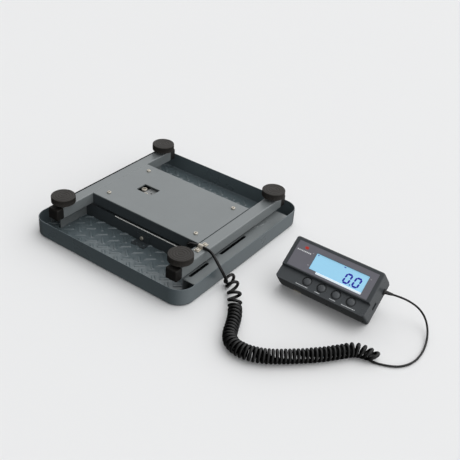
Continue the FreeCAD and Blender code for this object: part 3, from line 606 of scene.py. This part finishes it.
def tread_bars():
    """Centres and directions of the tray floor's two families of raised bars."""
    found = []
    for x0, y0, slope in TREAD_FAMILIES:
        for i in range(-8, 8):
            for j in range(-4, 12):
                x = x0 + TREAD_STEP[0] * i
                y = y0 + TREAD_STEP[1] * j
                from_side = TRAY_HALF[0] - abs(x)
                from_end = TRAY_HALF[1] - abs(y)
                in_corner = from_side < TREAD_CORNER and from_end < TREAD_CORNER
                if min(from_side, from_end) > TREAD_MARGIN and not in_corner:
                    found.append((x, y, (1.0, slope)))
    return found


def patterned_floor(level, bar_level, length, width, inset):
    """One surface of the tray's floor: flat between its bars, each bar with sloping sides."""
    half_x = TRAY_HALF[0] - TRAY_BEND_R
    half_y = TRAY_HALF[1] - TRAY_BEND_R
    outline = rounded_rectangle(half_x, half_y, TRAY_CORNER_R - TRAY_BEND_R)
    points = [Vector(p) for p in outline]
    constraints = [list(range(len(points)))]
    bars = []
    for x, y, direction in tread_bars():
        ring = pill(x, y, direction, length, width)
        first = len(points)
        points += [Vector(p) for p in ring]
        constraints.append(list(range(first, len(points))))
        bars.append((x, y, direction, first, len(ring)))
    flat = delaunay_2d_cdt(points, [], constraints, 1, 1e-4)
    vertices = [(p.x, p.y, level) for p in flat[0]]
    faces = [tuple(f) for f, source in zip(flat[2], flat[5]) if source == [0]]
    place = {(round(p.x, 3), round(p.y, 3)): i for i, p in enumerate(flat[0])}
    for x, y, direction, first, count in bars:
        base = [place[(round(p.x, 3), round(p.y, 3))] for p in points[first : first + count]]
        rings = [base]
        for share in (0.3, 0.65, 1.0):
            ring = pill(x, y, direction, length - 2 * inset * share, width - 2 * inset * share)
            height = level + (bar_level - level) * math.sin(share * math.pi / 2)
            low = len(vertices)
            vertices += [(px, py, height) for px, py in ring]
            rings.append(list(range(low, low + count)))
        for lower, upper in zip(rings, rings[1:]):
            for k in range(count):
                nxt = (k + 1) % count
                faces.append((lower[k], lower[nxt], upper[nxt], upper[k]))
        faces.append(tuple(rings[-1]))
    return vertices, faces


OUTER_BAR_RISE = 1.0
INNER_BAR_RISE = 1.3
RIM_EDGE_R = 0.45


def make_tray():
    outer_floor = 0.0
    inner_floor = outer_floor + TRAY_SHEET
    bend_z = outer_floor + TRAY_BEND_R
    profile = []
    for k in range(7):
        angle = math.pi / 2 * k / 6
        inset = TRAY_BEND_R * (1 - math.sin(angle))
        profile.append((inset, bend_z - TRAY_BEND_R * math.cos(angle)))
    edge = RIM_EDGE_R
    for k in range(4):
        angle = math.pi / 2 * k / 3
        profile.append((edge * (1 - math.cos(angle)), TRAY_RIM_Z - edge * (1 - math.sin(angle))))
    for k in range(4):
        angle = math.pi / 2 * k / 3
        inset = TRAY_SHEET - edge * (1 - math.sin(angle))
        profile.append((inset, TRAY_RIM_Z - edge * (1 - math.cos(angle))))
    inner_r = TRAY_BEND_R - TRAY_SHEET
    for k in range(7):
        angle = math.pi / 2 * (1 - k / 6)
        inset = TRAY_BEND_R - inner_r * math.sin(angle)
        profile.append((inset, bend_z - inner_r * math.cos(angle)))
    vertices = []
    faces = []
    for inset, z in profile:
        ring = rounded_rectangle(TRAY_HALF[0] - inset, TRAY_HALF[1] - inset, TRAY_CORNER_R - inset)
        vertices += [(x, y, z) for x, y in ring]
    count = len(vertices) // len(profile)
    for row in range(len(profile) - 1):
        for k in range(count):
            nxt = (k + 1) % count
            low = row * count
            faces.append((low + k, low + nxt, low + count + nxt, low + count + k))
    for level, bar_level, length, width, inset in (
        (outer_floor, outer_floor + OUTER_BAR_RISE, 17.4, 4.4, 0.9),
        (inner_floor, inner_floor + INNER_BAR_RISE, 18.8, 5.6, 1.5),
    ):
        found, found_faces = patterned_floor(level, bar_level, length, width, inset)
        low = len(vertices)
        vertices += found
        faces += [tuple(low + i for i in face) for face in found_faces]
    tray = add_object("platform_tray_finish", [Vector(v) * MM for v in vertices], faces, "tray_paint")
    close_up(tray, 5e-6)
    smooth(tray)
    weighted(tray)
    belongs(tray, "platform", "tray_paint", "platform_tray")


make_tray()

# Round parts ------------------------------------------------------------------------------


RIB_DEPTH = 0.8


def lathe(name, profile, x, y, material, segments=48, ribs=0, ribbed=()):
    """A turned part about an upright axis; ribbed rows of its profile get upright ribs."""
    vertices = []
    faces = []
    for row, (radius, z) in enumerate(profile):
        for k in range(segments):
            angle = 2 * math.pi * k / segments
            reach = radius
            if row in ribbed:
                reach -= RIB_DEPTH * (0.5 - 0.5 * math.cos(ribs * angle))
            vertices.append(
                Vector((x + reach * math.cos(angle), y + reach * math.sin(angle), z)) * MM
            )
    for row in range(len(profile) - 1):
        for k in range(segments):
            nxt = (k + 1) % segments
            low = row * segments
            faces.append((low + k, low + nxt, low + segments + nxt, low + segments + k))
    faces.append(tuple(reversed(range(segments))))
    last = (len(profile) - 1) * segments
    faces.append(tuple(range(last, last + segments)))
    return add_object(name, vertices, faces, material)


GROOVES = (16.6, 13.0, 8.6, 4.2)
GROOVE_DEPTH = 0.22


def pad_profile():
    """From the stud's blind hole out under the cone, up the ribbed side and over the top."""
    top = FOOT_TOP_Z
    side = FOOT_R
    rows = [
        (STUD_HOLE_R, STUD_Z[1] + 0.3),
        (STUD_HOLE_R, FOOT_HUB_Z + 0.3),
        (STUD_HOLE_R + 0.3, FOOT_HUB_Z),
        (FOOT_HUB_R - 0.3, FOOT_HUB_Z),
        (FOOT_HUB_R + 0.1, FOOT_HUB_Z + 0.2),
        (side - 2.6, FOOT_DISC_Z - 0.2),
        (side - 2.3, FOOT_DISC_Z),
        (side - 0.5, FOOT_DISC_Z),
        (side - 0.1, FOOT_DISC_Z + 0.4),
    ]
    ribbed = [len(rows), len(rows) + 1]
    rows += [(side, FOOT_DISC_Z + 1.2), (side, top - 2.2)]
    rows += [(side - 0.05, top - 1.6), (side, top - 1.1)]
    rows += [(side - 0.15, top - 0.5), (side - 0.5, top - 0.12)]
    rows.append((side - 1.0, top))
    for groove in GROOVES:
        rows += [(groove + 0.6, top), (groove + 0.25, top - GROOVE_DEPTH)]
        rows.append((groove - 0.25, top - GROOVE_DEPTH))
        rows.append((groove - 0.6, top))
    rows += [(1.8, top - 0.02), (0.5, top - 0.05)]
    return rows, ribbed


def make_pad(corner, x, y):
    rows, ribbed = pad_profile()
    pad = lathe("foot_pad_finish_" + corner, rows, x, y, "foot_rubber", 216, 54, ribbed)
    close_up(pad)
    smooth(pad, 50)
    belongs(pad, "foot_pad_body_" + corner, "foot_rubber", "foot_pad_" + corner)


def make_stud(corner, x, y):
    """A stud with a V thread that runs out at its lower end."""
    pitch = 1.25
    depth = 0.6
    run_out = 1.6
    end_drop = 0.7
    segments = 20
    per_pitch = 6
    low, high = STUD_Z
    rows = int((high - low) / pitch * per_pitch)
    vertices = []
    faces = []
    for row in range(rows + 1):
        z = low + (high - low) * row / rows
        end = min(1.0, (z - low) / run_out)
        for k in range(segments):
            angle = 2 * math.pi * k / segments
            phase = (z / pitch - k / segments) % 1.0
            radius = STUD_R - depth * abs(2 * phase - 1) - end_drop * (1 - end)
            at = (x + radius * math.cos(angle), y + radius * math.sin(angle), z)
            vertices.append(Vector(at) * MM)
    for row in range(rows):
        for k in range(segments):
            nxt = (k + 1) % segments
            here = row * segments
            faces.append((here + k, here + nxt, here + segments + nxt, here + segments + k))
    faces.append(tuple(reversed(range(segments))))
    last = rows * segments
    faces.append(tuple(range(last, last + segments)))
    stud = add_object("foot_stud_finish_" + corner, vertices, faces, "zinc")
    smooth(stud, 50)
    belongs(stud, "foot_stud_body_" + corner, "zinc", "foot_stud_" + corner)


for corner, side_x, side_y in CORNERS:
    make_pad(corner, side_x * FOOT_AT[0], side_y * FOOT_AT[1])
    make_stud(corner, side_x * FOOT_AT[0], side_y * FOOT_AT[1])
    softened("tube_plug_" + corner, 0.5, "foot_rubber", "plug_rubber")

# Steel frame ------------------------------------------------------------------------------

# Where a darker copy of the frame paint follows a node, the whole piece is drawn in that painted shade.
for node, width, *slots in (
    ("right_platform_channel", 0.5, "frame_paint"),
    ("left_platform_channel", 0.5, "frame_paint"),
    ("centre_platform_channel", 0.55, "frame_paint", "shaded_paint"),
    ("near_bracket", 0.3, "frame_paint", "shaded_paint"),
    ("far_bracket", 0.3, "frame_paint", "shaded_paint"),
    ("bracket_screws", 0.15, "zinc"),
    ("platform_spacer", 0.3, "dark_steel"),
    ("base_spacer", 0.3, "dark_steel"),
    ("load_cell", 0.3, "cell_aluminium"),
    ("platform_bolts", 0.2, "zinc"),
    ("overload_stop", 0.2, "zinc"),
    ("right_cross_tube", 0.3, "frame_paint"),
    ("left_cross_tube", 0.3, "frame_paint"),
    ("base_channel", 0.4, "frame_paint", "shaded_paint"),
    ("cover_plate", 0.2, "frame_paint"),
    ("cover_screws", 0.15, "zinc"),
    ("foot_nuts", 0.25, "zinc"),
    ("base_bolts", 0.12, "dark_steel"),
    ("grommet", 0.3, "black_rubber"),
    ("cable_clamp", 0.2, "zinc"),
    ("clamp_screws", 0.15, "zinc"),
    ("inner_lead", 0.1, "cord_jacket"),
):
    softened(node, width, *slots)


def strip(name, outline, start, end, material, body):
    """A bar along X or Y from the outline of its section, given as pairs of the other axes."""
    lengthwise = "x" if start[1] is None else "y"
    first = start[0]
    last = end
    vertices = []
    for at in (first, last):
        for across, z in outline:
            point = (at, across, z) if lengthwise == "x" else (across, at, z)
            vertices.append(Vector(point) * MM)
    count = len(outline)
    faces = [tuple(reversed(range(count))), tuple(range(count, 2 * count))]
    for k in range(count):
        nxt = (k + 1) % count
        faces.append((k, nxt, count + nxt, count + k))
    made = add_object(name, vertices, faces, material)
    close_up(made, 1e-7)
    smooth(made, 30)
    return belongs(made, body, None)


WELD_WIDTH = 2.6
WELD_MARKS = (
    (126.0, 60.0, (0.75, 1.0), 9.0),
    (129.6, 70.0, (0.3, 1.0), 12.0),
    (131.4, 84.0, (1.0, 0.4), 7.0),
    (126.6, -119.0, (1.0, 0.3), 6.0),
)


# Sections of the near-black strips, painted shade: in the cover's seam, on the tube's edge and under the
# slots.
SEAM_X = 106.5
SEAM_HALF_Y = 64.8
SEAM = ((-0.6, 45.6), (0.6, 45.6), (0.6, 46.2), (0.3, 46.35), (-0.3, 46.35), (-0.6, 46.2))
TUBE_EDGE = ((0.2, -2.1), (0.2, -0.5), (-0.5, 0.3), (-2.6, 0.5), (-2.9, -0.1), (-0.3, -2.1))
TUBE_EDGE_HALF_Y = 128.4
UNDER_SLOT = ((124.6, 21.4), (131.6, 21.4), (131.6, 22.2), (131.3, 22.4), (124.9, 22.4), (124.6, 22.2))
SLOT_SPANS = ((-113.0, -66.0), (-39.0, 29.0))
# Section and span of the glowing strip on the centre channel's bend, a painted highlight.
BEND = ((-64.2, 23.7), (-64.2, 24.07), (-64.6, 24.07), (-64.93, 23.93), (-65.07, 23.6), (-65.07, 23.2))
BEND_SPAN = (-60.0, 122.6)


def make_strips():
    """Painted shade: dark strips on the left tube's outer edge, in the cover's seam and under the slots,
    and a glowing painted highlight along the centre channel's bend. The tube's line is only a look, not
    a real piece."""
    edge = [(-(TUBE_OUT_X + out), TUBE_TOP_Z + up) for out, up in TUBE_EDGE]
    strip("edge_shade", edge, (-TUBE_EDGE_HALF_Y, 0), TUBE_EDGE_HALF_Y, "painted_shade_black", "base")
    seam = [(SEAM_X + across, z) for across, z in SEAM]
    strip("seam_shade", seam, (-SEAM_HALF_Y, 0), SEAM_HALF_Y, "painted_shade_black", "base")
    for index, (low, high) in enumerate(SLOT_SPANS):
        strip(f"slot_shade_{index}", UNDER_SLOT, (low, 0), high, "painted_shade_black", "platform")
    # A glowing light strip along the centre channel's bend: painted highlight.
    strip("painted_highlight_bend", BEND, (BEND_SPAN[0], None), BEND_SPAN[1], "painted_highlight", "platform")


make_strips()


def make_weld_marks():
    """Low domed dashes pressed up in the +X channel's top."""
    vertices = []
    faces = []
    for x, y, direction, length in WELD_MARKS:
        low = len(vertices)
        for inset, height in ((0.0, -0.2), (0.0, 0.1), (0.4, 0.5), (1.0, 0.7)):
            ring = pill(x, y, direction, length - inset, WELD_WIDTH - inset)
            vertices += [Vector((px, py, FRAME_TOP_Z + height)) * MM for px, py in ring]
        count = len(ring)
        for row in range(3):
            here = low + row * count
            for k in range(count):
                nxt = (k + 1) % count
                faces.append((here + k, here + nxt, here + count + nxt, here + count + k))
        faces.append(tuple(range(low + 3 * count, low + 4 * count)))
        faces.append(tuple(reversed(range(low, low + count))))
    marks = add_object("weld_marks", vertices, faces, "frame_paint")
    close_up(marks, 1e-7)
    smooth(marks, 40)
    belongs(marks, "platform", None)


make_weld_marks()

# Display ----------------------------------------------------------------------------------

FACE_U = Vector((1, 0, 0))
FACE_V = Vector((0, math.cos(DISPLAY_TILT), math.sin(DISPLAY_TILT)))
FACE_N = Vector((0, -math.sin(DISPLAY_TILT), math.cos(DISPLAY_TILT)))


def on_face(u, v, n):
    return (DISPLAY_ORIGIN + FACE_U * u + FACE_V * v + FACE_N * n) * MM


for node, width, *slots in (
    ("display_front", 0.6, "housing"),
    ("display_back", 0.3, "housing"),
    ("label_panel", 0.12, "panel"),
    ("lcd_glass", 0.15, "lcd"),
    ("backlight_frame", 0.2, "white_plastic"),
    ("circuit_board", 0.15, "board"),
    ("key_switches", 0.15, "black_rubber"),
    ("power_jack", 0.15, "black_rubber", "jack_black"),
    ("lead_gland", 0.2, "black_rubber"),
    ("case_screws", 0.12, "zinc"),
    ("battery", 0.3, "battery_label"),
    ("battery_snap", 0.3, "black_rubber"),
    ("tilt_stand", 0.35, "housing"),
    ("battery_door", 0.25, "housing"),
):
    softened(node, width, *slots)

LCD_TOP_N = 37.2
PANEL_TOP_N = 38.2
PRINT_THICK = 0.05


LEDGE_V = 20.6
LEDGE_FRONT_N = 35.9
LEDGE_BACK_N = 33.2


def ledge_n(v):
    """How far out the button ledge's surface is at a height up the face."""
    return LEDGE_FRONT_N - (LEDGE_FRONT_N - LEDGE_BACK_N) * v / LEDGE_V


def printed(name, outlines, level, material):
    """Thin raised marks on the display, from outlines in u and v."""
    vertices = []
    faces = []
    for outline in outlines:
        count = len(outline)
        low = len(vertices)
        for lift in (0.0, PRINT_THICK):
            vertices += [on_face(u, v, level(v) + lift) for u, v in outline]
        faces.append(tuple(reversed(range(low, low + count))))
        faces.append(tuple(range(low + count, low + 2 * count)))
        for k in range(count):
            nxt = (k + 1) % count
            faces.append((low + k, low + nxt, low + count + nxt, low + count + k))
    marks = add_object(name, vertices, faces, material)
    close_up(marks, 1e-7)
    return belongs(marks, "display", None)


def bar(u, v, length, height):
    return pill(u, v, (1.0, 0.0), length, height, 4)


def segment_digit(u, v, width, height, thick, slant, lit):
    """A seven-segment digit's lit segments, as outlines."""
    half = thick / 2
    gap = 0.12
    mid = height / 2
    spans = {
        "a": ((half, height - half), (width - half, height - half)),
        "b": ((width - half, mid), (width - half, height - half)),
        "c": ((width - half, half), (width - half, mid)),
        "d": ((half, half), (width - half, half)),
        "e": ((half, half), (half, mid)),
        "f": ((half, mid), (half, height - half)),
        "g": ((half, mid), (width - half, mid)),
    }
    found = []
    for key in lit:
        start, end = (Vector(p) for p in spans[key])
        ahead = (end - start).normalized()
        left = Vector((-ahead.y, ahead.x))
        start += ahead * gap
        end -= ahead * gap
        corners = (
            start,
            start + (ahead - left) * half,
            end - (ahead + left) * half,
            end,
            end - (ahead - left) * half,
            start + (ahead + left) * half,
        )
        found.append([(u + p.x + p.y * slant, v + p.y) for p in corners])
    return found


def disc(u, v, radius, steps=20):
    found = []
    for k in range(steps):
        angle = 2 * math.pi * k / steps
        found.append((u + radius * math.cos(angle), v + radius * math.sin(angle)))
    return found


KEYS = (("hold_button", 45.7), ("unit_button", 69.2), ("tare_button", 92.5), ("power_button", 116.2))
KEY_V = 12.4
KEY_R = 6.4
KEY_TOP_N = 35.5
KEY_FLANGE = (7.4, 30.0, 30.7)
KEY_DOME = ((2.2, 0.97), (1.5, 0.9), (0.95, 0.82), (0.55, 0.7), (0.25, 0.52), (0.07, 0.3), (0.0, 0.1))
RING_R = (6.8, 7.5)


def key_profile():
    """From the hidden flange up the side and over the low dome."""
    flange_r, low, high = KEY_FLANGE
    rows = [(flange_r, low), (flange_r, high), (KEY_R, high), (KEY_R, KEY_TOP_N - 2.6)]
    for drop, share in KEY_DOME:
        rows.append((KEY_R * share, KEY_TOP_N - drop))
    return rows


def turned_on_face(name, rows, u, v, material, close=True, steps=48):
    """A part turned about an axis square to the display's face; each row is a radius and n."""
    vertices = []
    faces = []
    for radius, level in rows:
        for k in range(steps):
            angle = 2 * math.pi * k / steps
            at_v = v + radius * math.sin(angle)
            n = level(at_v) if callable(level) else level
            vertices.append(on_face(u + radius * math.cos(angle), at_v, n))
    count = len(rows)
    for row in range(count if not close else count - 1):
        here = row * steps
        there = (row + 1) % count * steps
        for k in range(steps):
            nxt = (k + 1) % steps
            faces.append((here + k, here + nxt, there + nxt, there + k))
    if close:
        faces.append(tuple(reversed(range(steps))))
        faces.append(tuple(range((count - 1) * steps, count * steps)))
    made = add_object(name, vertices, faces, material)
    close_up(made, 1e-7)
    smooth(made, 40)
    return made


def ring_top(v):
    return ledge_n(v) + PRINT_THICK


def ring_foot(v):
    return ledge_n(v) - PRINT_THICK


def make_keys():
    for node, u in KEYS:
        cap = turned_on_face(node + "_finish", key_profile(), u, KEY_V, "key")
        belongs(cap, body_of_node(node), "key", node)
        # A thin dark ring on the ledge round each cap: painted shade of its gap.
        inner, outer = RING_R
        rows = ((inner, ring_foot), (inner, ring_top), (outer, ring_top), (outer, ring_foot))
        ring = turned_on_face(node + "_ring", rows, u, KEY_V, "key_gap_shade", close=False)
        belongs(ring, "display", None)


make_keys()


def make_marks():
    digits = []
    for u in (90.6, 105.2):
        digits += segment_digit(u, 31.6, 10.6, 16.6, 2.7, 0.12, "abcdef")
    digits.append(disc(103.6, 32.8, 1.1))
    digits += [bar(86.0, 53.6, 3.4, 1.2), bar(42.6, 53.6, 2.6, 1.1)]
    printed("lcd_digits", digits, lambda v: LCD_TOP_N, "digits")
    words = []
    for u, length in ((41.5, 19.0), (67.0, 7.6), (91.4, 8.4), (116.4, 21.0)):
        start = u - length / 2
        while start < u + length / 2 - 1.0:
            step = rng.uniform(1.2, 2.0)
            words.append(bar(start + step / 2, 3.4, step, 1.15))
            start += step + 0.35
    printed("key_words", words, ledge_n, "print_white")
    brand = []
    start = 9.0
    while start < 31.0:
        step = rng.uniform(1.6, 2.6)
        brand.append(bar(start + step / 2, 50.4, step, 2.2))
        start += step + 0.4
    printed("panel_line", brand, lambda v: PANEL_TOP_N, "print_white")
    small = [bar(35.9, 34.0, 2.4, 1.4), bar(127.6, 52.4, 2.4, 1.2), bar(34.4, 52.6, 2.0, 1.2)]
    printed("panel_words", small, lambda v: PANEL_TOP_N, "label_print")
    printed("status_lamp", [bar(21.6, 56.6, 6.4, 4.4)], lambda v: PANEL_TOP_N, "lamp_red")


make_marks()

JACK_V = 24.8
JACK_N = 17.5
JACK_WALL_U = (140.6, 141.8)
STICKER_U = 28.5
STICKER_N = 4.2
STICKER_WALL_V = (0.3, -0.12)


def wall_plate(name, outline, place, material):
    """A thin plate on one of the display's walls: place gives its inner and outer side."""
    count = len(outline)
    vertices = [place(side, a, b) for side in (0, 1) for a, b in outline]
    faces = [tuple(reversed(range(count))), tuple(range(count, 2 * count))]
    for k in range(count):
        nxt = (k + 1) % count
        faces.append((k, nxt, count + nxt, count + k))
    plate = add_object(name, vertices, faces, material)
    close_up(plate, 1e-7)
    return belongs(plate, "display", None)


def on_right_wall(side, v, n):
    return on_face(JACK_WALL_U[side], JACK_V + v, JACK_N + n)


def on_front_wall(side, u, n):
    return on_face(STICKER_U + u, STICKER_WALL_V[side], STICKER_N + n)


# A black plate on the display's right wall: painted shade for the power jack's opening.
wall_plate("jack_mouth_shade", rounded_rectangle(3.3, 6.0, 0.8, 4), on_right_wall, "jack_black")
wall_plate("front_sticker", rounded_rectangle(6.0, 2.4, 0.5, 4), on_front_wall, "cream")

# Stage ------------------------------------------------------------------------------------


KEY_FROM = Vector((0.35, 0.35, 1.0))
KEY_STRENGTH = 0.57
KEY_SPREAD = 60.0
SKY_LOW = 0.06
SKY_LOBES = (
    # towards, from, to, strength
    ((0.9, 0.12, 0.5), -0.4, 0.9, 0.96),
    ((-0.45, 0.78, 0.56), 0.45, 0.95, 0.84),
)


def make_sky():
    """Soft studio surroundings: bright to the right, above and behind, dark to the left and near."""
    world = bpy.data.worlds.new("studio")
    bpy.context.scene.world = world
    world.use_nodes = True
    tree = world.node_tree
    sky = tree.nodes["Background"]
    place = tree.nodes.new("ShaderNodeTexCoord")
    total = None
    for towards, low, high, strength in SKY_LOBES:
        facing = tree.nodes.new("ShaderNodeVectorMath")
        facing.operation = "DOT_PRODUCT"
        facing.inputs[1].default_value = Vector(towards).normalized()
        tree.links.new(place.outputs["Generated"], facing.inputs[0])
        spread = tree.nodes.new("ShaderNodeMapRange")
        spread.interpolation_type = "SMOOTHSTEP"
        spread.inputs["From Min"].default_value = low
        spread.inputs["From Max"].default_value = high
        spread.inputs["To Max"].default_value = strength
        tree.links.new(facing.outputs["Value"], spread.inputs["Value"])
        joined = tree.nodes.new("ShaderNodeMath")
        joined.inputs[0].default_value = SKY_LOW
        tree.links.new(spread.outputs["Result"], joined.inputs[1])
        if total:
            tree.links.new(total, joined.inputs[0])
        total = joined.outputs["Value"]
    tree.links.new(total, sky.inputs["Strength"])
    sky.inputs["Color"].default_value = (0.985, 0.992, 1.0, 1.0)


def make_stage():
    half = 6.0
    corners = [(-half, -half), (half, -half), (half, half), (-half, half)]
    mesh = bpy.data.meshes.new("floor")
    mesh.from_pydata([(x, y, -0.0003) for x, y in corners], [], [(0, 1, 2, 3)])
    floor = bpy.data.objects.new("floor", mesh)
    bpy.context.scene.collection.objects.link(floor)
    mesh.materials.append(
        make_material("floor", linear(236, 236, 236), 0.8, 0.0, 0.003, 2.0, 0.02, 300, 0.0)
    )
    floor.visible_diffuse = False
    floor.visible_glossy = False
    make_sky()
    key = bpy.data.lights.new("key", "SUN")
    key.energy = KEY_STRENGTH
    key.angle = math.radians(KEY_SPREAD)
    holder = bpy.data.objects.new("key", key)
    bpy.context.scene.collection.objects.link(holder)
    holder.rotation_euler = KEY_FROM.to_track_quat("Z", "Y").to_euler()
    bpy.context.scene.view_settings.view_transform = "Standard"
    return holder


make_stage()
